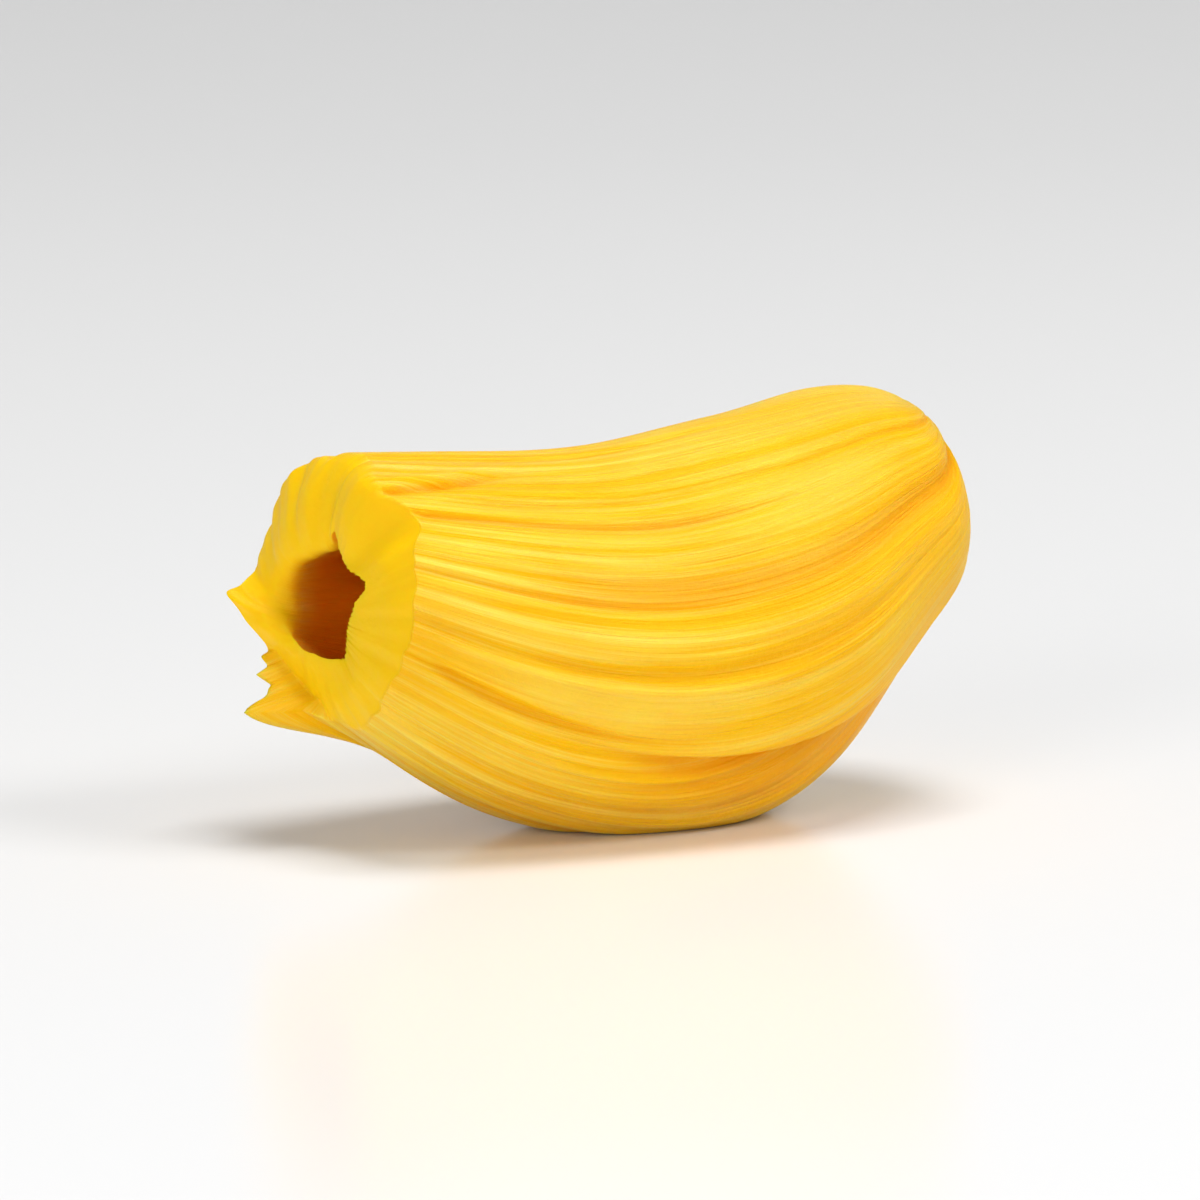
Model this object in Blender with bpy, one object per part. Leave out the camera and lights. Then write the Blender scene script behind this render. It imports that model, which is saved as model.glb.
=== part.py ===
"""A peeled jackfruit bulb: one pod of flesh, cut open at one end, with the hollow that its seed left.

The bulb lies along X with its cut end toward -X and rests on a small flat at z = 0. Its skin is a
stack of rings. A ring hangs between a point on the back curve and a point on the belly curve, which
meet at the tip, so the rings fan out round the blunt end. The same stack goes on over the cut edge,
across the cut face, in at the torn mouth and down the hollow, so the whole bulb is one closed skin.
"""

import bmesh
import bpy
import numpy as np

MM = 0.001
MERGE_DISTANCE = 0.02 * MM

# Driving dimensions of the outside, in millimetres. STATION runs from the cut edge (0) to the tip (1).
STATION = (0.0, 0.18, 0.36, 0.54, 0.70, 0.84, 0.94, 1.0)
BACK_XZ = ((5.0, 35.6), (16.0, 34.9), (27.0, 34.5), (37.0, 35.6), (46.0, 36.7), (54.0, 37.2),
           (59.6, 36.3), (62.6, 33.4))
BELLY_XZ = ((4.0, 10.2), (15.0, 2.8), (28.0, -1.3), (41.0, -0.9), (51.0, 4.4), (59.0, 13.2),
            (64.0, 23.8), (62.6, 33.4))
HALF_WIDTH = (12.6, 14.6, 15.8, 16.2, 15.4, 12.8, 8.2, 0.0)
SIDE_SHIFT = (0.0, 0.0, 0.0, 0.0, 0.3, 0.8, 1.4, 2.0)
LENGTH_PER_STATION = 62.0

# The middle of the finished bulb, in the millimetres used here: it becomes the object's origin.
MIDDLE_X = 30.41
MIDDLE_Y = -0.01

# Furrows that run from end to end: angle from the back in degrees, spread in degrees, depth in mm.
FURROWS = ((36.0, 9.0, 0.35), (69.0, 10.0, 0.60), (114.0, 11.0, 0.50), (208.0, 11.0, 0.45),
           (252.0, 11.0, 0.55), (290.0, 11.0, 0.50), (326.0, 10.0, 0.45))

# The cut end. Angles are measured like the furrows': 90 is the side toward -Y, 270 the side toward +Y.
RIM_SLANT = 2.2
RIM_TIP_ANGLE = 250.0
RIM_TIP_SPREAD = 14.0
RIM_TIP_REACH = 3.0
FLAP_ANGLE = 209.0
FLAP_SPREAD = 16.0
FLAP_REACH = 4.0
FLAP_DROP = 1.6
FLAP_THICKNESS = 1.5
FACE_BULGE = 1.3
BULGE_TOWARD_RIM = 0.7
ROUNDED_RIM_SHARE = 0.35

# The torn mouth and the seed's hollow behind it.
MOUTH_CENTRE = (0.6, 1.0, 22.4)
MOUTH_SLANT = 0.2
MOUTH_HALF_WIDTH = 5.3
MOUTH_HALF_HEIGHT = 5.0
NOTCH_ANGLE = 20.0
NOTCH_SPREAD = 22.0
NOTCH_SHARE = 0.22
THREE_CORNERED_SHARE = 0.10
HOLLOW_DEPTH = 35.0
HOLLOW_HALF_WIDTH = 8.0
HOLLOW_HALF_HEIGHT = 7.8
HOLLOW_DROP = 3.4
WIDEST_AT_SHARE = 0.53

# How finely the skin is divided.
ROUND_COUNT = 52
SKIN_RINGS = 24
FACE_RINGS = 4
HOLLOW_RINGS = 9
CLOSER_TOWARD_EDGE = 0.35
LEAST_FURROWED_SIZE = 6.0

FLESH_COLOUR = (0.955, 0.560, 0.012, 1.0)
FLESH_ROUGHNESS = 0.42


def smooth_through(at, values, query):
    """The natural cubic spline through values (one row per entry of at), read at every query."""
    at = np.asarray(at, float)
    values = np.asarray(values, float).reshape(len(at), -1)
    gap = np.diff(at)
    slope = np.diff(values, axis=0) / gap[:, None]
    system = np.eye(len(at))
    right = np.zeros_like(values)
    for i in range(1, len(at) - 1):
        system[i, i - 1:i + 2] = gap[i - 1], 2.0 * (gap[i - 1] + gap[i]), gap[i]
        right[i] = 6.0 * (slope[i] - slope[i - 1])
    bend = np.linalg.solve(system, right)
    k = np.clip(np.searchsorted(at, query, side="right") - 1, 0, len(at) - 2)
    step = gap[k][..., None]
    after = (query - at[k])[..., None]
    before = step - after
    curve = (bend[k] * before ** 3 + bend[k + 1] * after ** 3) / (6.0 * step)
    curve += (values[k] / step - bend[k] * step / 6.0) * before
    curve += (values[k + 1] / step - bend[k + 1] * step / 6.0) * after
    return curve


def through_the_tip(values, sign):
    """The stations' values mirrored past the tip, so that a curve runs smoothly over it."""
    values = np.asarray(values, float)
    return np.concatenate([values, sign * values[-2::-1]])


def angle_bump(angle, centre, spread):
    """A smooth bump round the ring: 1 at centre, fading over spread. All angles are in degrees."""
    away = (angle - centre + 180.0) % 360.0 - 180.0
    return np.exp(-((away / spread) ** 2))


def angle_step(angle, centre, spread):
    """Like angle_bump, with a flatter top and steeper sides."""
    away = (angle - centre + 180.0) % 360.0 - 180.0
    return np.exp(-((away / spread) ** 4))


def skin_point(station, angle):
    """The outside at a station and an angle, both arrays of one shape."""
    along = np.concatenate([STATION, 2.0 - np.array(STATION)[-2::-1]])
    outline = np.concatenate([BACK_XZ, np.array(BELLY_XZ)[-2::-1]])
    back = smooth_through(along, outline, station)
    belly = smooth_through(along, outline, 2.0 - station)
    half_width = smooth_through(along, through_the_tip(HALF_WIDTH, -1.0), station)[..., 0]
    shift = smooth_through(along, through_the_tip(SIDE_SHIFT, 1.0), station)[..., 0]
    centre = (back + belly) / 2.0
    half_height = (back - belly) / 2.0
    size = np.linalg.norm(half_height, axis=-1)
    depth = sum(d * angle_bump(angle, a, s) for a, s, d in FURROWS)
    swell = 1.0 - depth / np.maximum(size, LEAST_FURROWED_SIZE)
    turn = np.radians(angle)
    up = swell * np.cos(turn)
    side = swell * np.sin(turn)
    x = centre[..., 0] + half_height[..., 0] * up
    y = shift - half_width * side
    z = centre[..., 1] + half_height[..., 1] * up
    return np.stack([x, y, z], axis=-1)


def edge_station(angle):
    """Where the cut crosses the outside. It is negative where the flesh reaches past the first ring."""
    slant = RIM_SLANT * (1.0 + np.cos(np.radians(angle - 270.0)))
    tip = RIM_TIP_REACH * angle_bump(angle, RIM_TIP_ANGLE, RIM_TIP_SPREAD)
    return -(slant + tip) / LENGTH_PER_STATION


def mouth_edge(angle):
    """The torn mouth: an oval with a notch toward the back and three weak corners."""
    turn = np.radians(angle)
    reach = 1.0 + NOTCH_SHARE * angle_bump(angle, NOTCH_ANGLE, NOTCH_SPREAD)
    reach += THREE_CORNERED_SHARE * np.cos(3.0 * turn + 0.6)
    x = MOUTH_CENTRE[0] + MOUTH_SLANT * MOUTH_HALF_WIDTH * np.sin(turn)
    y = MOUTH_CENTRE[1] - MOUTH_HALF_WIDTH * reach * np.sin(turn)
    z = MOUTH_CENTRE[2] + MOUTH_HALF_HEIGHT * reach * np.cos(turn)
    return np.stack([x, y, z], axis=-1)


def hollow_ring(share, angle):
    """The wall of the hollow, from the mouth (share 0) to its closed end (share 1).

    It starts as the torn mouth, turns into an oval by WIDEST_AT_SHARE, and closes like a fingertip.
    """
    turn = np.radians(angle)
    to_mouth = mouth_edge(angle) - np.array(MOUTH_CENTRE)
    to_oval = np.zeros_like(to_mouth)
    to_oval[:, 1] = -HOLLOW_HALF_WIDTH * np.sin(turn)
    to_oval[:, 2] = HOLLOW_HALF_HEIGHT * np.cos(turn)
    widened = np.sin(np.pi * min(share / WIDEST_AT_SHARE, 1.0) / 2.0)
    reach = to_mouth + (to_oval - to_mouth) * widened
    reach[:, 1:] *= np.sqrt(1.0 - share ** 3)
    middle = np.array(MOUTH_CENTRE) + np.array([HOLLOW_DEPTH, 0.0, -HOLLOW_DROP]) * share
    return middle + reach


def bulb_rings():
    """Every ring of the closed skin, from next to the tip to next to the hollow's end."""
    angle = np.arange(ROUND_COUNT) * 360.0 / ROUND_COUNT
    edge = edge_station(angle)
    rings = []
    for i in range(1, SKIN_RINGS + 1):
        share = i / SKIN_RINGS
        share += CLOSER_TOWARD_EDGE * share * (1.0 - share)
        rings.append(skin_point(1.0 + (edge - 1.0) * share, angle))
    flap = angle_step(angle, FLAP_ANGLE, FLAP_SPREAD)[:, None]
    rim = rings[-1].copy()
    rings[-1] = rim + flap * np.array([-FLAP_REACH, 0.0, -FLAP_DROP])
    mouth = mouth_edge(angle)
    inward = mouth - rim
    inward /= np.linalg.norm(inward, axis=1)[:, None]
    rim = rim + flap * FLAP_THICKNESS * inward
    for i in range(FACE_RINGS):
        share = (i + ROUNDED_RIM_SHARE) / FACE_RINGS
        face = rim + (mouth - rim) * share
        face[:, 0] -= FACE_BULGE * np.sin(np.pi * share ** BULGE_TOWARD_RIM)
        rings.append(face)
    for i in range(HOLLOW_RINGS):
        rings.append(hollow_ring(i / HOLLOW_RINGS, angle))
    return rings


def closed_skin(rings, first, last):
    """A mesh of the rings in order, closed by a point at each end."""
    vertices = np.concatenate([*rings, [first], [last]])
    vertices = (vertices - np.array([MIDDLE_X, MIDDLE_Y, 0.0])) * MM
    here = np.arange(ROUND_COUNT)
    after = (here + 1) % ROUND_COUNT
    faces = []
    for row in range(len(rings) - 1):
        a = row * ROUND_COUNT
        b = a + ROUND_COUNT
        faces += np.stack([a + here, a + after, b + after, b + here], axis=1).tolist()
    last_row = (len(rings) - 1) * ROUND_COUNT
    first_point = len(rings) * ROUND_COUNT
    last_point = first_point + 1
    for i, j in zip(here.tolist(), after.tolist()):
        faces.append([first_point, j, i])
        faces.append([last_point, last_row + i, last_row + j])
    mesh = bpy.data.meshes.new("jackfruit_bulb")
    mesh.from_pydata(vertices.tolist(), [], faces)
    return mesh


def flatten_underside(mesh):
    """Cuts the belly off level at z = 0, which leaves the small flat that the bulb rests on."""
    work = bmesh.new()
    work.from_mesh(mesh)
    bmesh.ops.recalc_face_normals(work, faces=work.faces)
    everything = work.verts[:] + work.edges[:] + work.faces[:]
    cut = bmesh.ops.bisect_plane(work, geom=everything, plane_co=(0, 0, 0), plane_no=(0, 0, -1),
                                 clear_outer=True)
    border = [item for item in cut["geom_cut"] if isinstance(item, bmesh.types.BMEdge)]
    bmesh.ops.contextual_create(work, geom=border)
    bmesh.ops.remove_doubles(work, verts=work.verts, dist=MERGE_DISTANCE)
    bmesh.ops.recalc_face_normals(work, faces=work.faces)
    work.to_mesh(mesh)
    work.free()


def flesh_material():
    """Ripe yellow flesh with a faint waxy shine."""
    material = bpy.data.materials.new("flesh")
    material.use_nodes = True
    shader = material.node_tree.nodes["Principled BSDF"]
    shader.inputs["Base Color"].default_value = FLESH_COLOUR
    shader.inputs["Roughness"].default_value = FLESH_ROUGHNESS
    shader.inputs["Metallic"].default_value = 0.0
    return material


def make_bulb():
    """The whole bulb as one solid."""
    tip = skin_point(np.array([1.0]), np.array([0.0]))[0]
    hollow_end = hollow_ring(1.0, np.array([0.0]))[0]
    mesh = closed_skin(bulb_rings(), tip, hollow_end)
    flatten_underside(mesh)
    mesh.materials.append(flesh_material())
    mesh.shade_smooth()
    bulb = bpy.data.objects.new("jackfruit_bulb", mesh)
    bpy.context.scene.collection.objects.link(bulb)
    return bulb


for leftover in list(bpy.data.objects):
    bpy.data.objects.remove(leftover, do_unlink=True)

make_bulb()
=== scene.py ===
# %% [markdown]
# # A peeled jackfruit bulb
# A jackfruit bulb is the yellow pod of flesh round one seed. This one has its seed end cut open, so
# its hollow shows. The frame holds the plain solid that carries its size, rest and collision. This
# lesson makes the skin that is seen: furrows and fibres from end to end, a knife-cut face, a torn
# mouth with a soft far side, a thin ragged flap under it, and waxy flesh that glows at its edges.

# %% Load the frame
import math

import bpy
import numpy as np
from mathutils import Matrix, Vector


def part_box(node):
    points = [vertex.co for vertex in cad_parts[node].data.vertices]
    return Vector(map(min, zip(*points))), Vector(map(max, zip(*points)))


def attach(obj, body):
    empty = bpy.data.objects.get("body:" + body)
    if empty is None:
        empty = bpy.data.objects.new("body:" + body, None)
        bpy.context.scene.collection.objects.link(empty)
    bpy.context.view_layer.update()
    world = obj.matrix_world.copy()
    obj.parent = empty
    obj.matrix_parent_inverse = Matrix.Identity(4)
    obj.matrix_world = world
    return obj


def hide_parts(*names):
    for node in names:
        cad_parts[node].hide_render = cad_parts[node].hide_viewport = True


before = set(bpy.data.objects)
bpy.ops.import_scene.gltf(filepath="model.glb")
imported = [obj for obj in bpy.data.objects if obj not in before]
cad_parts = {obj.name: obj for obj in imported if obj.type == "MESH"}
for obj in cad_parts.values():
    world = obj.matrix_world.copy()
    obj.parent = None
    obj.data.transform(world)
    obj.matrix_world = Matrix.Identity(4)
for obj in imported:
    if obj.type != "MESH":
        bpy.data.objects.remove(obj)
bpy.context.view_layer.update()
low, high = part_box("jackfruit_bulb")
print("the solid measures", [round(1000 * (b - a), 1) for a, b in zip(low, high)], "mm")

# %% [markdown]
# ## One way to write every curve
# The bulb has no straight line and no true arc, but each of its lines is calm. A natural cubic spline
# passes through a few listed stations and bends as little as it can between them, which is how
# a springy batten held by pegs behaves. A sculpted mesh could do this too, but then its sizes would
# be hidden in thousands of points instead of a few.

# %% Smooth curve through stations
MM = 0.001


def smooth_through(at, values, query):
    """Natural cubic spline: two cubics share each station's place, slope and bend, and the bend is
    zero at both ends. query may have any shape; the result adds one axis for the values' columns."""
    at = np.asarray(at, float)
    values = np.asarray(values, float).reshape(len(at), -1)
    gap = np.diff(at)
    slope = np.diff(values, axis=0) / gap[:, None]
    system = np.eye(len(at))
    right = np.zeros_like(values)
    for i in range(1, len(at) - 1):
        system[i, i - 1:i + 2] = gap[i - 1], 2.0 * (gap[i - 1] + gap[i]), gap[i]
        right[i] = 6.0 * (slope[i] - slope[i - 1])
    bend = np.linalg.solve(system, right)
    k = np.clip(np.searchsorted(at, query, side="right") - 1, 0, len(at) - 2)
    step = gap[k][..., None]
    after = (query - at[k])[..., None]
    before = step - after
    curve = (bend[k] * before ** 3 + bend[k + 1] * after ** 3) / (6.0 * step)
    curve += (values[k] / step - bend[k] * step / 6.0) * before
    curve += (values[k + 1] / step - bend[k + 1] * step / 6.0) * after
    return curve


def ease(x, start, end):
    """0 before start, 1 after end, and 3t^2 - 2t^3 between."""
    t = np.clip((x - start) / (end - start), 0.0, 1.0)
    return t * t * (3.0 - 2.0 * t)


# %% [markdown]
# ## The body
# Two curves in the upright middle plane give the side view: the back, which sags a little behind the
# cut, and the belly, which swings round the blunt end. They meet at the tip. A ring hangs between
# each pair of their points, so the rings fan out round the bend, and the furrows, which run across
# the rings, gather at the tip as they do on a real pod. These are the same stations as the solid's.

# %% Stations of the body, in millimetres
STATION = (0.0, 0.18, 0.36, 0.54, 0.70, 0.84, 0.94, 1.0)
BACK_XZ = ((5.0, 35.6), (16.0, 34.9), (27.0, 34.5), (37.0, 35.6), (46.0, 36.7), (54.0, 37.2),
           (59.6, 36.3), (62.6, 33.4))
BELLY_XZ = ((4.0, 10.2), (15.0, 2.8), (28.0, -1.3), (41.0, -0.9), (51.0, 4.4), (59.0, 13.2),
            (64.0, 23.8), (62.6, 33.4))
HALF_WIDTH = (12.6, 14.6, 15.8, 16.2, 15.4, 12.8, 8.2, 0.0)
SIDE_SHIFT = (0.0, 0.0, 0.0, 0.0, 0.3, 0.8, 1.4, 2.0)
LENGTH_PER_STATION = 62.0
MIDDLE = np.array([30.41, -0.01, 0.0])


def body_frame(station):
    """The ring at each station: its centre, the half height vector toward the back, and the half
    width toward -Y. Past the tip the curves run on into each other, so the end is round."""
    past_tip = 2.0 - np.array(STATION)[-2::-1]
    along = np.concatenate([STATION, past_tip])
    outline = np.concatenate([BACK_XZ, np.array(BELLY_XZ)[-2::-1]])
    back = smooth_through(along, outline, station)
    belly = smooth_through(along, outline, 2.0 - station)
    widths = np.concatenate([HALF_WIDTH, -np.array(HALF_WIDTH)[-2::-1]])
    shifts = np.concatenate([SIDE_SHIFT, np.array(SIDE_SHIFT)[-2::-1]])
    half_width = smooth_through(along, widths, station)[..., 0]
    shift = smooth_through(along, shifts, station)[..., 0]
    middle = (back + belly) / 2.0
    half = (back - belly) / 2.0
    centre = np.stack([middle[..., 0], shift, middle[..., 1]], axis=-1)
    up = np.stack([half[..., 0], np.zeros_like(shift), half[..., 1]], axis=-1)
    return centre, up, half_width


# %% [markdown]
# ## Furrows
# The flesh grew pressed against its neighbours and the strands between them, which left furrows from
# end to end. Each is a valley across the ring whose two sides may differ: some are soft hollows, some
# a crisp crease with a rounded lip below. Angles go round the ring from the back (0) over the side
# toward -Y (90) and the belly (180) to the side toward +Y (270). A ridge is a furrow of negative depth.

# %% Depth of the furrows
# angle at the cut, angle at the tip, spread toward the back, spread past it, depth in mm,
# and the stations where it rises, is full, starts to fade, and is gone
FURROWS = (
    (33.0, -35.0, 1.2, 3.6, 0.52, -0.06, 0.00, 0.09, 0.24),
    (28.0, -35.0, 2.4, 1.8, -0.22, -0.04, 0.02, 0.09, 0.22),
    (38.0, 34.0, 2.0, 3.6, 0.42, 0.02, 0.16, 0.88, 1.05),
    (27.0, 28.0, 1.6, 2.0, 0.20, 0.12, 0.30, 0.75, 0.95),
    (45.5, 46.5, 1.3, 4.4, 0.50, -0.02, 0.03, 0.42, 0.72),
    (69.0, 70.0, 8.5, 6.0, 0.80, -0.05, 0.45, 0.95, 1.10),
    (71.0, 74.0, 1.4, 2.4, 0.16, -0.02, 0.05, 0.30, 0.55),
    (92.0, 92.0, 3.2, 2.4, 0.26, -0.05, 0.02, 0.30, 0.60),
    (96.5, 95.0, 1.0, 2.2, -0.20, 0.00, 0.06, 0.62, 0.90),
    (106.5, 124.0, 1.5, 5.0, 0.55, 0.00, 0.05, 0.20, 0.45),
    (109.0, 136.0, 2.0, 20.0, 2.10, 0.28, 0.64, 0.84, 1.02),
    (109.0, 136.0, 1.6, 4.5, 0.45, 0.12, 0.40, 0.78, 0.98),
    (128.0, 131.0, 1.6, 3.0, 0.22, 0.02, 0.12, 0.60, 0.85),
    (141.0, 143.0, 1.8, 3.4, 0.30, 0.00, 0.10, 0.70, 0.92),
    (152.0, 156.0, 1.6, 2.6, 0.20, 0.05, 0.20, 0.55, 0.80),
    (168.0, 166.0, 3.6, 3.0, 0.26, 0.05, 0.25, 0.80, 0.98),
    (207.0, 205.0, 5.5, 8.0, 0.55, -0.05, 0.20, 0.92, 1.08),
    (223.0, 226.0, 1.8, 3.0, 0.32, 0.03, 0.15, 0.60, 0.85),
    (240.0, 238.0, 1.6, 2.6, 0.26, 0.05, 0.20, 0.70, 0.92),
    (252.0, 252.0, 8.0, 6.0, 0.62, -0.05, 0.20, 0.92, 1.08),
    (268.0, 272.0, 1.5, 3.6, 0.40, -0.02, 0.08, 0.50, 0.75),
    (291.0, 289.0, 6.0, 7.5, 0.58, -0.05, 0.20, 0.92, 1.08),
    (303.0, 306.0, 1.6, 2.8, 0.30, 0.00, 0.12, 0.62, 0.88),
    (317.0, 318.0, 4.0, 5.0, 0.40, -0.10, 0.00, 0.20, 0.50),
    (326.0, 327.0, 6.0, 5.5, 0.45, 0.10, 0.35, 0.92, 1.05),
    (345.0, 342.0, 3.4, 3.8, 0.62, -0.10, 0.00, 0.12, 0.36),
    (356.0, 350.0, 13.0, 12.0, -0.50, 0.62, 0.80, 0.90, 1.00),
)


def off_by(angle, centre):
    """The signed way round the ring from centre to angle, between -180 and 180 degrees."""
    return (angle - centre + 180.0) % 360.0 - 180.0


def furrow_depth(station, angle):
    """The sum of the furrows. Each is exp(-(off / spread)^2) across the ring, with its own spread on
    either side, times a rise and a fade along the bulb."""
    depth = np.zeros(np.broadcast(station, angle).shape)
    for at_cut, at_tip, before, past, deep, rise, full, fade, gone in FURROWS:
        off = off_by(angle, at_cut + (at_tip - at_cut) * station)
        spread = np.where(off < 0.0, before, past)
        reach = ease(station, rise, full) * (1.0 - ease(station, fade, gone))
        depth += deep * reach * np.exp(-((off / spread) ** 2))
    return depth


# %% [markdown]
# ## Fibres
# Between the furrows the flesh is combed into fine fibres. They are strongest behind the cut and die
# out toward the tip, where the skin is finely pitted instead. Each fibre is a hair-thin furrow or
# ridge with its own place, length and depth, drawn from a seeded generator, so every run is alike.

# %% Depth of the fibres
FIBRE_SEED = 11
FIBRE_COUNT = 230
FIBRE_DEPTH = 0.115
FIBRE_DRIFT = 1.6
FIBRE_SPREADS = (0.6, 2.7)
FIBRE_STARTS = (-0.35, 0.75)
FIBRE_LENGTHS = (0.18, 0.65)
FIBRE_RISE = 0.12
FIBRE_FADE = 0.20
DEPTH_LOST_TO_TIP = 0.55


def fibre_depth(station, angle):
    """The sum of the fibres: thin bumps across the ring, each alive only between two stations."""
    rng = np.random.default_rng(FIBRE_SEED)
    depth = np.zeros(np.broadcast(station, angle).shape)
    for _ in range(FIBRE_COUNT):
        at = rng.uniform(0.0, 360.0)
        drift = rng.normal(0.0, FIBRE_DRIFT)
        spread = rng.uniform(*FIBRE_SPREADS)
        start = rng.uniform(*FIBRE_STARTS)
        end = start + rng.uniform(*FIBRE_LENGTHS)
        deep = FIBRE_DEPTH * rng.normal(0.35, 0.9)
        off = off_by(angle, at + drift * station)
        alive = ease(station, start, start + FIBRE_RISE) * (1.0 - ease(station, end, end + FIBRE_FADE))
        depth += deep * alive * np.exp(-((off / spread) ** 2))
    return depth * (1.0 - DEPTH_LOST_TO_TIP * ease(station, 0.45, 0.85))


print(FIBRE_COUNT, "fibres, up to a few tenths of a millimetre deep")

# %% Slow unevenness
# depth in mm, waves round the ring, radians along the bulb, starting angle in radians
SLOW_WAVES = ((0.16, 2.0, 5.0, 0.4), (0.10, 3.0, -9.0, 1.9), (0.07, 5.0, 13.0, 4.1))


def swell_depth(station, angle):
    """The sum of waves that run slantwise: deep x sin(round x angle + along x station + start). It
    fades out before the tip."""
    turn = np.radians(angle)
    waves = [deep * np.sin(around * turn + along * station + start)
             for deep, around, along, start in SLOW_WAVES]
    return sum(waves) * (1.0 - ease(station, 0.85, 1.0))


# %% The outside as a function of station and angle
LEAST_FURROWED_SIZE = 6.0
FURROW_STRENGTH = 1.25


def skin_point(station, angle):
    """centre + swell x (up cos(angle) - side sin(angle)), where swell takes the furrows', fibres' and
    unevenness' depth off the ring's own size."""
    centre, up, half_width = body_frame(station)
    depth = FURROW_STRENGTH * furrow_depth(station, angle) + fibre_depth(station, angle)
    depth = depth + swell_depth(station, angle)
    size = np.linalg.norm(up, axis=-1)
    swell = 1.0 - depth / np.maximum(size, LEAST_FURROWED_SIZE)
    turn = np.radians(angle)
    point = centre + up * (swell * np.cos(turn))[..., None]
    point[..., 1] -= half_width * swell * np.sin(turn)
    return point, depth


# %% [markdown]
# ## The cut
# The knife went across at a slant, and the flesh did not part evenly: the far side stands out in a
# blunt point, and the top gave way in soft lobes. The cut's line is a station for each angle. A thin
# layer of skin under the mouth was left behind as a ragged flap.

# %% Where the cut crosses the outside
# angle, and how far toward -X the cut line lies from the first station, in mm
CUT_LINE = ((0.0, 1.2), (22.0, 1.9), (38.0, 1.7), (46.0, -0.2), (58.0, 0.2), (75.0, 1.0),
            (90.0, 1.2), (108.0, 1.5), (128.0, 2.1), (150.0, 1.9), (176.0, 1.7), (200.0, 2.9),
            (220.0, 4.8), (234.0, 6.8), (243.0, 8.2), (247.5, 8.7), (253.0, 7.4), (263.0, 5.5),
            (280.0, 4.1), (300.0, 3.5), (318.0, 3.7), (332.0, 2.7), (345.0, 2.3), (360.0, 1.2))
# angle, and how far the flap reaches past the cut line, in mm
FLAP_LINE = ((186.0, 0.0), (193.0, 1.5), (198.0, 4.2), (201.5, 6.4), (204.0, 5.7), (206.5, 3.3),
             (210.0, 2.1), (214.0, 2.4), (216.0, 2.7), (218.0, 1.1), (222.0, 1.1), (224.0, 0.4),
             (227.0, 0.0))
FLAP_DROP_SHARE = 0.14
FLAP_STARTS_AT = (-0.04, 0.09)


def round_the_ring(line, angle):
    """A closed line of (angle, value) pairs as a smooth function: a spline that starts one turn
    early and ends one turn late, so that it has no seam."""
    table = np.array(line)[:-1]
    turns = [table + np.array([360.0 * t, 0.0]) for t in (-1, 0, 1)]
    table = np.concatenate(turns)
    return smooth_through(table[:, 0], table[:, 1], angle)[..., 0]


def cut_station(angle):
    """The station of the cut line, with a faint waver from the blade."""
    turn = np.radians(angle)
    waver = 0.10 * np.sin(17.0 * turn + 1.0) + 0.07 * np.sin(29.0 * turn + 2.2)
    return -(round_the_ring(CUT_LINE, angle) + waver) / LENGTH_PER_STATION


def flap_reach(angle):
    """The flap's reach: straight runs between its torn points, with fine teeth on top."""
    table = np.array(FLAP_LINE)
    reach = np.interp(angle, table[:, 0], table[:, 1])
    teeth = 0.10 * np.sin(angle * 1.3 + 0.8) * np.sin(angle * 0.7) + 0.05 * np.sin(angle * 3.1)
    return reach + teeth * ease(reach, 0.8, 2.4)


# %% [markdown]
# ## The torn mouth
# The seed was pulled out through the cut and tore a hole with corners. Its near side is a crisp,
# toothed edge that overhangs the hollow. Its far side and top roll inward softly, so the inner wall
# is seen there and catches light. The line below has one point for each corner of the tear.

# %% Outline of the mouth
MOUTH_CENTRE = np.array([0.6, 1.0, 22.0])
MOUTH_SLANT = 0.2
# angle, distance from the mouth's centre in mm
MOUTH_LINE = ((0.0, 4.6), (9.0, 5.9), (16.5, 7.4), (26.0, 6.2), (38.0, 5.7), (50.0, 5.9),
              (66.0, 7.7), (70.0, 7.5), (78.0, 5.7), (97.0, 4.6), (112.0, 4.3), (127.0, 4.6),
              (141.0, 5.4), (152.0, 4.9), (184.0, 4.2), (221.0, 4.6), (238.0, 5.2), (256.0, 5.8),
              (280.0, 5.7), (305.0, 5.0), (330.0, 4.3), (360.0, 4.6))
CORNER_ROUNDING = 1.2
TOOTH = 0.13
TOOTHED_FROM = (12.0, 22.0)
TOOTHED_TO = (138.0, 158.0)
SOFT_FROM = (225.0, 262.0)
SOFT_TO = (3.0, 15.0)
DRAWN_IN = 1.0
WARP = 0.25


def mouth_distance(angle):
    """Straight runs between the corners, rounded a little by averaging three neighbours, plus fine
    teeth along the crisp side."""
    table = np.array(MOUTH_LINE)
    beside = (-CORNER_ROUNDING, 0.0, CORNER_ROUNDING)
    reach = sum(np.interp((angle + d) % 360.0, table[:, 0], table[:, 1]) for d in beside) / 3.0
    teeth = np.sin(angle * 1.9) * np.sin(angle * 0.73 + 1.0) + 0.7 * np.sin(angle * 3.7 + 2.0)
    crisp = ease(angle, *TOOTHED_FROM) * (1.0 - ease(angle, *TOOTHED_TO))
    return reach + TOOTH * teeth * crisp


def softness(angle):
    """0 where the mouth's edge is crisp, 1 where it rolls inward."""
    return np.clip(ease(angle, *SOFT_FROM) + (1.0 - ease(angle, *SOFT_TO)), 0.0, 1.0)


def mouth_edge(angle):
    """The mouth's line in space: on the cut's slant, and drawn inward where it is soft."""
    turn = np.radians(angle)
    reach = mouth_distance(angle)
    y = -reach * np.sin(turn)
    z = reach * np.cos(turn)
    x = -MOUTH_SLANT * y + DRAWN_IN * softness(angle) + WARP * np.sin(3.0 * turn + 0.7)
    return MOUTH_CENTRE + np.stack([x, y, z], axis=-1)


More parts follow.
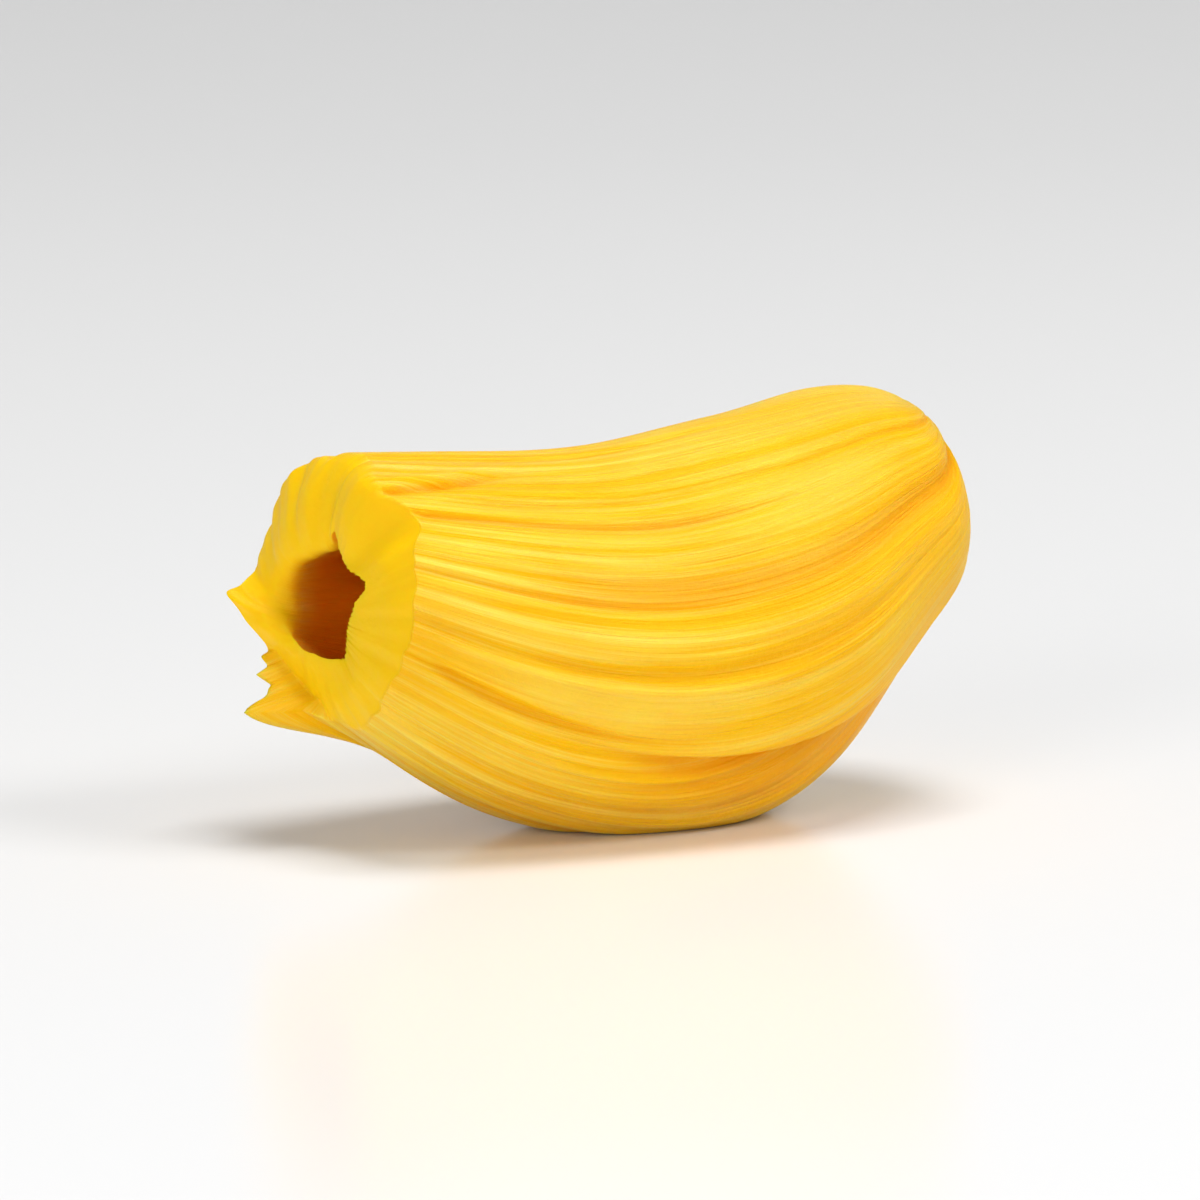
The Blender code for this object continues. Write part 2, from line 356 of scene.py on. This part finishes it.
# %% [markdown]
# ## The hollow
# Behind the mouth the seed left a smooth room as long as the seed was. It starts as the torn outline,
# widens at once under the overhanging edge, and closes like the inside of a fingertip.

# %% Wall of the hollow
HOLLOW_DEPTH = 35.0
HOLLOW_HALF_WIDTH = 8.0
HOLLOW_HALF_HEIGHT = 7.8
HOLLOW_DROP = 3.4
WIDEST_AT_SHARE = 0.42


def hollow_point(share, angle):
    """mouth centre + run along the hollow + reach, where reach turns from the torn outline into an
    oval and shrinks with sqrt(1 - share^3). Faint folds run along the wall."""
    turn = np.radians(angle)
    to_mouth = mouth_edge(angle) - MOUTH_CENTRE
    folds = 1.0 + 0.035 * np.sin(5.0 * turn + 3.0 * share + 0.6)
    folds = folds + 0.02 * np.sin(11.0 * turn - 5.0 * share)
    to_oval = np.stack([np.zeros_like(turn * share), -HOLLOW_HALF_WIDTH * folds * np.sin(turn),
                        HOLLOW_HALF_HEIGHT * folds * np.cos(turn)], axis=-1)
    widened = np.sin(np.pi * np.minimum(share / WIDEST_AT_SHARE, 1.0) / 2.0)[..., None]
    reach = to_mouth + (to_oval - to_mouth) * widened
    reach[..., 1:] *= np.sqrt(np.maximum(1.0 - share ** 3, 0.0))[..., None]
    run = np.array([HOLLOW_DEPTH, 0.0, -HOLLOW_DROP]) * share[..., None]
    return MOUTH_CENTRE + run + reach


# %% [markdown]
# ## One closed skin
# The rows go from the tip over the outside to the cut, round its edge, across the cut face, over the
# mouth's lip and down the hollow. Stating the whole path for every angle at once keeps the mesh one
# grid of quads, closed by a fan at each end, with rows close together where the shape turns fast.

# %% Rows of the grid
COLUMNS = 400
SKIN_ROWS = 128
EDGE_ROWS = 12
FACE_ROWS = 32
LIP_ROWS = 14
HOLLOW_ROWS = 44

column_angle = np.arange(COLUMNS) * 360.0 / COLUMNS


def ramp(count):
    """1/count .. 1 as a column."""
    return (np.arange(1, count + 1) / count)[:, None]


# %% Rows of the outside
SHARP_EDGE = 0.12
ROUND_EDGE = 0.55
SHARP_FROM = (38.0, 50.0)
SHARP_TO = (150.0, 185.0)
CLOSER_TOWARD_EDGE = 0.35


def edge_rounding():
    """The cut's edge is sharp on the side toward -Y and rounder at the back and belly."""
    sharp = ease(column_angle, *SHARP_FROM) * (1.0 - ease(column_angle, *SHARP_TO))
    return ROUND_EDGE + (SHARP_EDGE - ROUND_EDGE) * sharp


def skin_rows():
    """From next to the tip to the cut's edge, where the flap's reach is added over the last rows."""
    edge = cut_station(column_angle)
    reach = flap_reach(column_angle)
    stop = edge + (1.0 - ease(reach, 0.0, 1.0)) * edge_rounding() / LENGTH_PER_STATION
    share = ramp(SKIN_ROWS)
    share = share + CLOSER_TOWARD_EDGE * share * (1.0 - share)
    station = 1.0 + (stop - 1.0) * share
    point, depth = skin_point(station, column_angle[None, :])
    pull = 1.0 - ease(station, *FLAP_STARTS_AT)
    point[..., 0] -= reach * pull
    point[..., 2] -= reach * pull * FLAP_DROP_SHARE
    return point, depth, station


def cut_edge_line():
    """The corner where the outside would meet the cut face if it were not rounded."""
    point, _ = skin_point(cut_station(column_angle)[None, :], column_angle[None, :])
    return point[0]


# %% The cut face
BOW = 0.30
EXTRA_BOW_AT_BACK = 0.75
BACK_FROM = (318.0, 350.0)
BACK_TO = (20.0, 52.0)
LEVEL_STEP = 1.5
LEVEL_TO = (-25.0, 40.0)


def face_point(edge, mouth, share):
    """Straight from the edge to the mouth, bowed toward -X by bulge x sin(pi share), with slow
    unevenness. At the back the bow starts steeply, so the face rolls over into the outside there.
    Where the mouth is soft the face stays level and then dips in late."""
    turn = np.radians(column_angle)
    at_back = (1.0 - ease(column_angle, *BACK_TO)) + ease(column_angle, *BACK_FROM)
    bulge = BOW + EXTRA_BOW_AT_BACK * at_back
    point = edge + (mouth - edge) * share[..., None]
    inside = np.clip(share, 0.0, 1.0)
    arch = np.sin(np.pi * inside ** (1.0 - 0.4 * at_back))
    uneven = 0.08 * np.sin(4.0 * turn + 7.0 * share) + 0.05 * np.sin(9.0 * turn - 5.0 * share + 1.0)
    level = np.where(column_angle < 180.0, 1.0, ease(column_angle, *SOFT_FROM))
    level = level * (1.0 - ease(off_by(column_angle, 0.0), *LEVEL_TO))
    point[..., 0] -= arch * (bulge + uneven)
    point[..., 0] -= LEVEL_STEP * level * inside * (1.0 - inside ** 4)
    return point


# %% Rows of the edge, face, lip and hollow
FLAP_THICKNESS = 0.8
FLAP_SHARE_OF_ROWS = 0.7
CRISP_LIP = 0.12
SOFT_LIP = 0.9
CLOSER_TOWARD_MOUTH = 1.15


def path_rows():
    """Every row after the outside: edge, face, lip and hollow."""
    edge = cut_edge_line()
    mouth = mouth_edge(column_angle)
    reach = flap_reach(column_angle)
    inward = (mouth - edge) / np.linalg.norm(mouth - edge, axis=1)[:, None]
    span = np.linalg.norm(mouth - edge, axis=1)
    flap = ease(reach, 0.0, 1.0)
    base = edge + inward * (FLAP_THICKNESS * flap)[:, None]
    start = skin_rows()[0][-1]
    first_share = edge_rounding() / span
    first_face = face_point(base, mouth, first_share)

    t = ramp(EDGE_ROWS)[..., None]
    rounded = (1 - t) ** 2 * start + 2 * t * (1 - t) * edge + t ** 2 * first_face
    on_flap = FLAP_SHARE_OF_ROWS
    back_to_base = start + (base - start) * np.minimum(t / on_flap, 1.0)
    back_to_base = back_to_base + (first_face - base) * np.maximum((t - on_flap) / (1.0 - on_flap), 0.0)
    edge_rows = rounded + (back_to_base - rounded) * flap[:, None]

    lip = CRISP_LIP + SOFT_LIP * softness(column_angle)
    last_share = 1.0 - lip / span
    shares = first_share + (last_share - first_share) * ramp(FACE_ROWS)
    face_rows = face_point(base, mouth, shares)

    lip_share = lip / HOLLOW_DEPTH
    lip_end = hollow_point(lip_share, column_angle)
    t = ramp(LIP_ROWS)[..., None]
    lip_rows = (1 - t) ** 2 * face_rows[-1] + 2 * t * (1 - t) * mouth + t ** 2 * lip_end

    s = (np.arange(1, HOLLOW_ROWS + 1) / (HOLLOW_ROWS + 1))[:, None]
    s = lip_share + (1.0 - lip_share) * s ** CLOSER_TOWARD_MOUTH
    hollow_rows = hollow_point(s, column_angle[None, :])
    return edge_rows, face_rows, lip_rows, hollow_rows


# %% [markdown]
# ## Rest and mesh
# Soft flesh flattens a little where it lies. Instead of cutting the mesh with a plane, which would
# leave a sharp rim, every point that would sink is lifted to the surface by a curve that bends
# smoothly. Then the rows become one mesh, and its signed volume tells whether its faces point out.

# %% Settle the belly on the surface
SETTLE = 0.25
SETTLE_BELOW = 6.0


def settle(point):
    """Lifts everything under the surface up to it: z becomes (z + sqrt(z^2 + settle^2)) / 2 near the
    surface, which is flat in the middle of the patch and smooth round its border."""
    z = point[..., 2]
    point[..., 2] = np.where(z < SETTLE_BELOW, (z + np.sqrt(z * z + SETTLE ** 2)) / 2.0, z)
    return point


# %% Build the grid
outside, outside_depth, outside_station = skin_rows()
edge_rows, face_rows, lip_rows, hollow_rows = path_rows()
grid = settle(np.concatenate([outside, edge_rows, face_rows, lip_rows, hollow_rows]))
tip = skin_point(np.array([1.0]), np.array([0.0]))[0]
hollow_end = hollow_point(np.array([1.0]), np.array([0.0]))
points = (np.concatenate([grid.reshape(-1, 3), tip, hollow_end]) - MIDDLE) * MM
rows = len(grid)
print("grid of", rows, "rows and", COLUMNS, "columns")


def grid_faces(rows, columns):
    """Quads between neighbouring rows, closed round the columns, and a fan to a point at each end."""
    here = np.arange(columns)
    after = (here + 1) % columns
    row = np.arange(rows - 1)[:, None] * columns
    quads = np.stack([row + here, row + columns + here, row + columns + after, row + after], axis=-1)
    first = np.stack([np.full(columns, rows * columns), here, after], axis=-1)
    last_row = (rows - 1) * columns
    last = np.stack([np.full(columns, rows * columns + 1), last_row + after, last_row + here], axis=-1)
    return quads.reshape(-1, 4).tolist() + first.tolist() + last.tolist()


def signed_volume(points, faces):
    """The sum of a . (b x c) / 6 over triangles: it is positive when the faces point outwards."""
    quads = np.array([f for f in faces if len(f) == 4])
    tris = np.array([f for f in faces if len(f) == 3])
    tris = np.concatenate([tris, quads[:, [0, 1, 2]], quads[:, [0, 2, 3]]])
    a, b, c = points[tris[:, 0]], points[tris[:, 1]], points[tris[:, 2]]
    return float(np.einsum("ij,ij->i", a, np.cross(b, c)).sum() / 6.0)


faces = grid_faces(rows, COLUMNS)
volume = signed_volume(points, faces)
if volume < 0.0:
    faces = [face[::-1] for face in faces]
print("flesh volume", round(abs(volume) * 1e6, 1), "cm3,", 2 * len(faces), "triangles at most")

mesh = bpy.data.meshes.new("bulb_flesh")
mesh.from_pydata(points.tolist(), [], faces)
mesh.shade_smooth()
bulb = bpy.data.objects.new("bulb_flesh", mesh)
bpy.context.scene.collection.objects.link(bulb)

# %% [markdown]
# ## What the finish needs to know
# A finish can only follow the furrows if the mesh says where they are. Four values are stored on the
# points: a place in fibre space, where one turn round the ring and one run along the bulb are known;
# how deep the point lies in a furrow; and how far it belongs to the cut face and to the hollow.

# %% Store the values on the points
FIBRE_SPACE_SIZE = 10.0


def down_the_rows(outside_value, edge_value, face_value, lip_value, hollow_value):
    """One value per point from what each band of rows holds; each may be a number or a grid."""
    bands = ((outside_value, SKIN_ROWS), (edge_value, EDGE_ROWS), (face_value, FACE_ROWS),
             (lip_value, LIP_ROWS), (hollow_value, HOLLOW_ROWS))
    return np.concatenate([np.broadcast_to(value, (count, COLUMNS)) for value, count in bands])


def store(name, kind, values):
    """Writes one value per point to a point attribute; the two pole points repeat their neighbours."""
    layer = mesh.attributes.new(name, kind, "POINT")
    values = values.reshape(rows * COLUMNS, -1)
    values = np.concatenate([values, values[:1], values[-1:]])
    field = "vector" if kind == "FLOAT_VECTOR" else "value"
    layer.data.foreach_set(field, values.astype(np.float32).ravel())


turn = np.radians(column_angle)
hollow_station = -0.25 - ramp(HOLLOW_ROWS)
along_value = down_the_rows(outside_station, outside_station[-1], -0.15, -0.2, hollow_station)
fibre_space = np.broadcast_arrays(np.cos(turn), np.sin(turn), along_value)
fibre_space = FIBRE_SPACE_SIZE * np.stack(fibre_space, axis=-1)
store("fibre_space", "FLOAT_VECTOR", fibre_space)
store("furrow", "FLOAT", down_the_rows(outside_depth, 0.0, 0.0, 0.0, 0.0))
store("cut_face", "FLOAT", down_the_rows(0.0, ramp(EDGE_ROWS), 1.0, 1.0 - ramp(LIP_ROWS) * 0.6, 0.0))
# The hollow value also places the painted orange glow inside the hollow.
hollow_value = np.minimum(0.5 + 5.0 * ramp(HOLLOW_ROWS), 1.0)
store("hollow", "FLOAT", down_the_rows(0.0, 0.0, 0.0, 0.5 * ramp(LIP_ROWS) ** 2, hollow_value))
print("stored", ", ".join(layer.name for layer in mesh.attributes if layer.name[0] in "fch"))

# %% [markdown]
# ## Ripe flesh
# Ripe jackfruit is waxy and lets light in: thin edges glow and shadows turn orange instead of grey.
# Subsurface scattering with a long red and a short blue reach gives that. Over it lie pale fibre
# streaks, a painted highlight on the ridges, painted shade in the furrows, a smoother and plainer
# cut face, and in the hollow a bright orange that is a painted glow of light soaked through the walls.

# %% Node helpers
def new_node(tree, kind, **settings):
    """Adds a node and sets its properties; numbered or named sockets go in inputs."""
    node = tree.nodes.new(kind)
    inputs = settings.pop("inputs", {})
    for key, value in settings.items():
        setattr(node, key, value)
    for key, value in inputs.items():
        if isinstance(value, bpy.types.NodeSocket):
            tree.links.new(value, node.inputs[key])
        else:
            node.inputs[key].default_value = value
    return node


def attribute(tree, name, vector=False):
    """Reads a value stored on the points."""
    node = new_node(tree, "ShaderNodeAttribute", attribute_name=name)
    return node.outputs["Vector" if vector else "Fac"]


def noise(tree, where, scale, detail, roughness):
    """Soft noise, about 0.5 on average; scale is cells per unit of where."""
    node = new_node(tree, "ShaderNodeTexNoise",
                    inputs={"Vector": where, "Scale": scale, "Detail": detail, "Roughness": roughness})
    return node.outputs["Fac"]


def between(tree, value, low_in, high_in, low_out, high_out):
    """Maps low_in..high_in to low_out..high_out and holds the ends."""
    node = new_node(tree, "ShaderNodeMapRange",
                    inputs={"Value": value, "From Min": low_in, "From Max": high_in,
                            "To Min": low_out, "To Max": high_out})
    return node.outputs["Result"]


def maths(tree, operation, a, b):
    """One sum or product of two numbers or sockets."""
    return new_node(tree, "ShaderNodeMath", operation=operation, inputs={0: a, 1: b}).outputs[0]


def mix_colour(tree, share, a, b):
    """a where share is 0, b where it is 1."""
    node = new_node(tree, "ShaderNodeMix", data_type="RGBA", inputs={0: share, 6: a, 7: b})
    return node.outputs[2]


def stretched(tree, where, scale):
    """Multiplies a place by scale, so that a pattern read there is drawn out along small numbers."""
    node = new_node(tree, "ShaderNodeVectorMath", operation="MULTIPLY", inputs={0: where, 1: scale})
    return node.outputs[0]


# %% The flesh's finish
GOLD = (0.950, 0.530, 0.002, 1.0)
# The next colour is the fibre streaks' own paler tone, and also a painted highlight on the ridges.
PALE_TONE_AND_PAINTED_HIGHLIGHT = (0.985, 0.760, 0.120, 1.0)
# The next colour is the fine lines' and patches' own darker tone, and also painted shade in the
# furrows.
DEEP_TONE_AND_PAINTED_SHADE = (0.860, 0.340, 0.001, 1.0)
FACE_GOLD = (0.945, 0.580, 0.002, 1.0)
# The next colour is a painted glow: a bright orange that stands in for light soaked through the walls
# into the hollow.
PAINTED_HOLLOW_GLOW = (1.000, 0.230, 0.001, 1.0)
SPECK_BROWN = (0.230, 0.075, 0.008, 1.0)


SUBSURFACE_REACH = (1.0, 0.42, 0.04)


def flesh_finish():
    """Builds the finish from the four stored values and from noise on Object coordinates."""
    material = bpy.data.materials.new("ripe_flesh")
    material.use_nodes = True
    tree = material.node_tree
    shader = tree.nodes["Principled BSDF"]
    place = new_node(tree, "ShaderNodeTexCoord").outputs["Object"]
    fibre = attribute(tree, "fibre_space", vector=True)
    furrow = attribute(tree, "furrow")
    cut = attribute(tree, "cut_face")
    hollow = attribute(tree, "hollow")
    skin = maths(tree, "SUBTRACT", 1.0, cut)

    # Colour: gold, paler along some fibres, with a painted highlight on ridges and painted shade in
    # furrows. The widths are noise cells across the fibres and along them.
    streak = noise(tree, stretched(tree, fibre, (1.5, 1.5, 0.10)), 1.0, 5.0, 0.68)
    hair = noise(tree, stretched(tree, fibre, (7.0, 7.0, 0.35)), 1.0, 2.0, 0.5)
    cloud = noise(tree, place, 90.0, 3.0, 0.5)
    along = new_node(tree, "ShaderNodeSeparateXYZ", inputs={"Vector": fibre}).outputs["Z"]
    near_cut = between(tree, along, 1.0, 7.0, 1.0, 0.45)
    pale = maths(tree, "MULTIPLY", between(tree, streak, 0.46, 0.64, 0.0, 0.85), skin)
    pale = maths(tree, "MULTIPLY", pale, near_cut)
    colour = mix_colour(tree, pale, GOLD, PALE_TONE_AND_PAINTED_HIGHLIGHT)
    line = maths(tree, "MULTIPLY", between(tree, hair, 0.42, 0.28, 0.0, 0.35), skin)
    colour = mix_colour(tree, line, colour, DEEP_TONE_AND_PAINTED_SHADE)
    # Painted highlight: ridges are mixed toward the pale colour, as if lit.
    ridge = maths(tree, "MULTIPLY", between(tree, furrow, 0.05, -0.35, 0.0, 0.45), skin)
    colour = mix_colour(tree, ridge, colour, PALE_TONE_AND_PAINTED_HIGHLIGHT)
    # Painted shade: furrows are mixed toward the deep colour, as if in shade.
    valley = between(tree, furrow, 0.15, 0.95, 0.0, 0.65)
    colour = mix_colour(tree, valley, colour, DEEP_TONE_AND_PAINTED_SHADE)
    colour = mix_colour(tree, between(tree, cloud, 0.35, 0.70, 0.22, 0.0), colour, DEEP_TONE_AND_PAINTED_SHADE)
    colour = mix_colour(tree, maths(tree, "MULTIPLY", cut, 0.85), colour, FACE_GOLD)
    # Painted glow: the hollow gets a bright orange that stands in for light soaked through its walls.
    colour = mix_colour(tree, hollow, colour, PAINTED_HOLLOW_GLOW)
    cell = new_node(tree, "ShaderNodeTexVoronoi", inputs={"Vector": place, "Scale": 260.0})
    dot = between(tree, cell.outputs["Distance"], 0.075, 0.045, 0.0, 1.0)
    chosen = between(tree, cell.outputs["Color"], 0.78, 0.82, 0.0, 0.7)
    speck = maths(tree, "MULTIPLY", maths(tree, "MULTIPLY", dot, chosen), cut)
    colour = mix_colour(tree, speck, colour, SPECK_BROWN)
    tree.links.new(colour, shader.inputs["Base Color"])

    # Gloss: waxy, a little wetter along some fibres, duller on the cut.
    gloss = between(tree, streak, 0.3, 0.75, 0.44, 0.36)
    gloss = maths(tree, "ADD", gloss, maths(tree, "MULTIPLY", cut, 0.10))
    tree.links.new(gloss, shader.inputs["Roughness"])

    # Surface: fibres on the skin, and fine pits and lumps all over, with deeper pits near the tip.
    fine_fibre = noise(tree, stretched(tree, fibre, (5.0, 5.0, 0.3)), 1.0, 3.0, 0.65)
    near_tip = between(tree, along, 2.0, 7.0, 1.0, 2.4)
    pits = maths(tree, "MULTIPLY", noise(tree, place, 1500.0, 2.0, 0.6), near_tip)
    lumps = noise(tree, place, 420.0, 2.0, 0.5)
    height = maths(tree, "MULTIPLY", maths(tree, "MULTIPLY", fine_fibre, 1.4), skin)
    height = maths(tree, "ADD", height, maths(tree, "MULTIPLY", pits, 0.22))
    height = maths(tree, "ADD", height, maths(tree, "MULTIPLY", lumps, 0.35))
    bump = new_node(tree, "ShaderNodeBump",
                    inputs={"Strength": 0.7, "Distance": 0.3 * MM, "Height": height})
    tree.links.new(bump.outputs["Normal"], shader.inputs["Normal"])

    shader.inputs["Subsurface Weight"].default_value = 0.55
    shader.inputs["Subsurface Radius"].default_value = SUBSURFACE_REACH
    shader.inputs["Subsurface Scale"].default_value = 0.0014
    shader.inputs["IOR"].default_value = 1.42
    shader.inputs["Specular IOR Level"].default_value = 0.36
    shader.inputs["Specular Tint"].default_value = (1.0, 0.82, 0.30, 1.0)
    return material


mesh.materials.append(flesh_finish())
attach(bulb, "root")
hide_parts("jackfruit_bulb")
print("the flesh replaces the plain solid")

# %% [markdown]
# ## Surface and light
# The bulb lies on a plain white surface with a soft shine. One wide soft light hangs above, two more
# stand in front on the right and left, and the white surroundings fill in the rest.

# %% Floor
FLOOR_RADIUS = 4.0
WALL_RADIUS = 2.0


def round_stage():
    """A disc that curves up into a wall: a profile turned round the Z axis, so that every side view
    has the same plain background."""
    spin = np.linspace(0.0, 2.0 * np.pi, 97)[:-1]
    bend = np.linspace(0.0, np.pi / 2.0, 24)
    radius = np.concatenate([[0.3, 1.2, FLOOR_RADIUS - 0.5], FLOOR_RADIUS + WALL_RADIUS * np.sin(bend)])
    height = np.concatenate([[0.0, 0.0, 0.0], WALL_RADIUS * (1.0 - np.cos(bend))])
    ring = np.stack([radius[:, None] * np.cos(spin), radius[:, None] * np.sin(spin),
                     height[:, None] * np.ones_like(spin)], axis=-1)
    count = len(spin)
    here = np.arange(count)
    after = (here + 1) % count
    row = np.arange(len(radius) - 1)[:, None] * count
    quads = np.stack([row + here, row + count + here, row + count + after, row + after], axis=-1)
    middle = len(radius) * count
    centre = np.stack([np.full(count, middle), here, after], axis=-1)
    stage_mesh = bpy.data.meshes.new("floor")
    vertices = np.concatenate([ring.reshape(-1, 3), [[0.0, 0.0, 0.0]]])
    stage_mesh.from_pydata(vertices.tolist(), [], quads.reshape(-1, 4).tolist() + centre.tolist())
    stage_mesh.shade_smooth()
    stage = bpy.data.objects.new("floor", stage_mesh)
    bpy.context.scene.collection.objects.link(stage)
    return stage


BACKDROP_GLOW = (0.22, 0.22, 0.22, 1.0)
GLOW_STARTS = 0.5
GLOW_FULL = 2.5


def floor_finish():
    """White and softly shiny. Far from the bulb it glows a little, as a backdrop with its own lamps."""
    material = bpy.data.materials.new("white_surface")
    material.use_nodes = True
    tree = material.node_tree
    shader = tree.nodes["Principled BSDF"]
    place = new_node(tree, "ShaderNodeTexCoord").outputs["Object"]
    away = new_node(tree, "ShaderNodeVectorMath", operation="LENGTH", inputs={0: place})
    share = between(tree, away.outputs["Value"], GLOW_STARTS, GLOW_FULL, 0.0, 1.0)
    glow = mix_colour(tree, share, (0.0, 0.0, 0.0, 1.0), BACKDROP_GLOW)
    tree.links.new(glow, shader.inputs["Emission Color"])
    shader.inputs["Emission Strength"].default_value = 1.0
    shader.inputs["Base Color"].default_value = (0.93, 0.93, 0.93, 1.0)
    shader.inputs["Roughness"].default_value = 0.22
    return material


floor = round_stage()
floor.data.materials.append(floor_finish())

# %% Lights
LIT_POINT = Vector((0.0, 0.0, 0.018))


def soft_light(name, place, size, power, tint=(1.0, 1.0, 1.0)):
    """A square soft light at place that faces the bulb."""
    lamp = bpy.data.lights.new(name, "AREA")
    lamp.size = size
    lamp.energy = power
    lamp.color = tint
    holder = bpy.data.objects.new(name, lamp)
    holder.location = place
    holder.rotation_euler = (LIT_POINT - Vector(place)).to_track_quat("-Z", "Y").to_euler()
    bpy.context.scene.collection.objects.link(holder)
    return holder


soft_light("overhead", (0.10, -0.15, 1.4), 0.6, 14.0)
soft_light("front_right", (0.60, -0.80, 0.85), 0.4, 5.5)
soft_light("front_left", (-0.95, -0.65, 0.38), 0.5, 4.8)

world = bpy.context.scene.world or bpy.data.worlds.new("World")
bpy.context.scene.world = world
world.use_nodes = True
background = world.node_tree.nodes["Background"]
background.inputs["Color"].default_value = (1.0, 1.0, 1.0, 1.0)
background.inputs["Strength"].default_value = 0.21
bpy.context.scene.view_settings.view_transform = "Standard"

# %% [markdown]
# ## The view
# The camera stands a little above the bulb and round toward its cut end, so that the mouth and the
# long side are both seen. A long lens from 0.8 m keeps the perspective as weak as in a product shot.

# %% Camera
VIEW_AZIMUTH = math.radians(-28.0)
VIEW_ELEVATION = math.radians(10.0)
VIEW_DISTANCE = 0.8
VIEW_WIDTH = 0.1077
LOOKED_AT = Vector((-0.00115, 0.00184, 0.0201))

toward_camera = Vector((math.sin(VIEW_AZIMUTH) * math.cos(VIEW_ELEVATION),
                        -math.cos(VIEW_AZIMUTH) * math.cos(VIEW_ELEVATION), math.sin(VIEW_ELEVATION)))
camera_data = bpy.data.cameras.new("camera")
camera_data.sensor_width = 36.0
camera_data.lens = camera_data.sensor_width * VIEW_DISTANCE / VIEW_WIDTH
camera_data.clip_start = 0.01
camera = bpy.data.objects.new("camera", camera_data)
camera.location = LOOKED_AT + toward_camera * VIEW_DISTANCE
camera.rotation_euler = (-toward_camera).to_track_quat("-Z", "Y").to_euler()
bpy.context.scene.collection.objects.link(camera)
bpy.context.scene.camera = camera
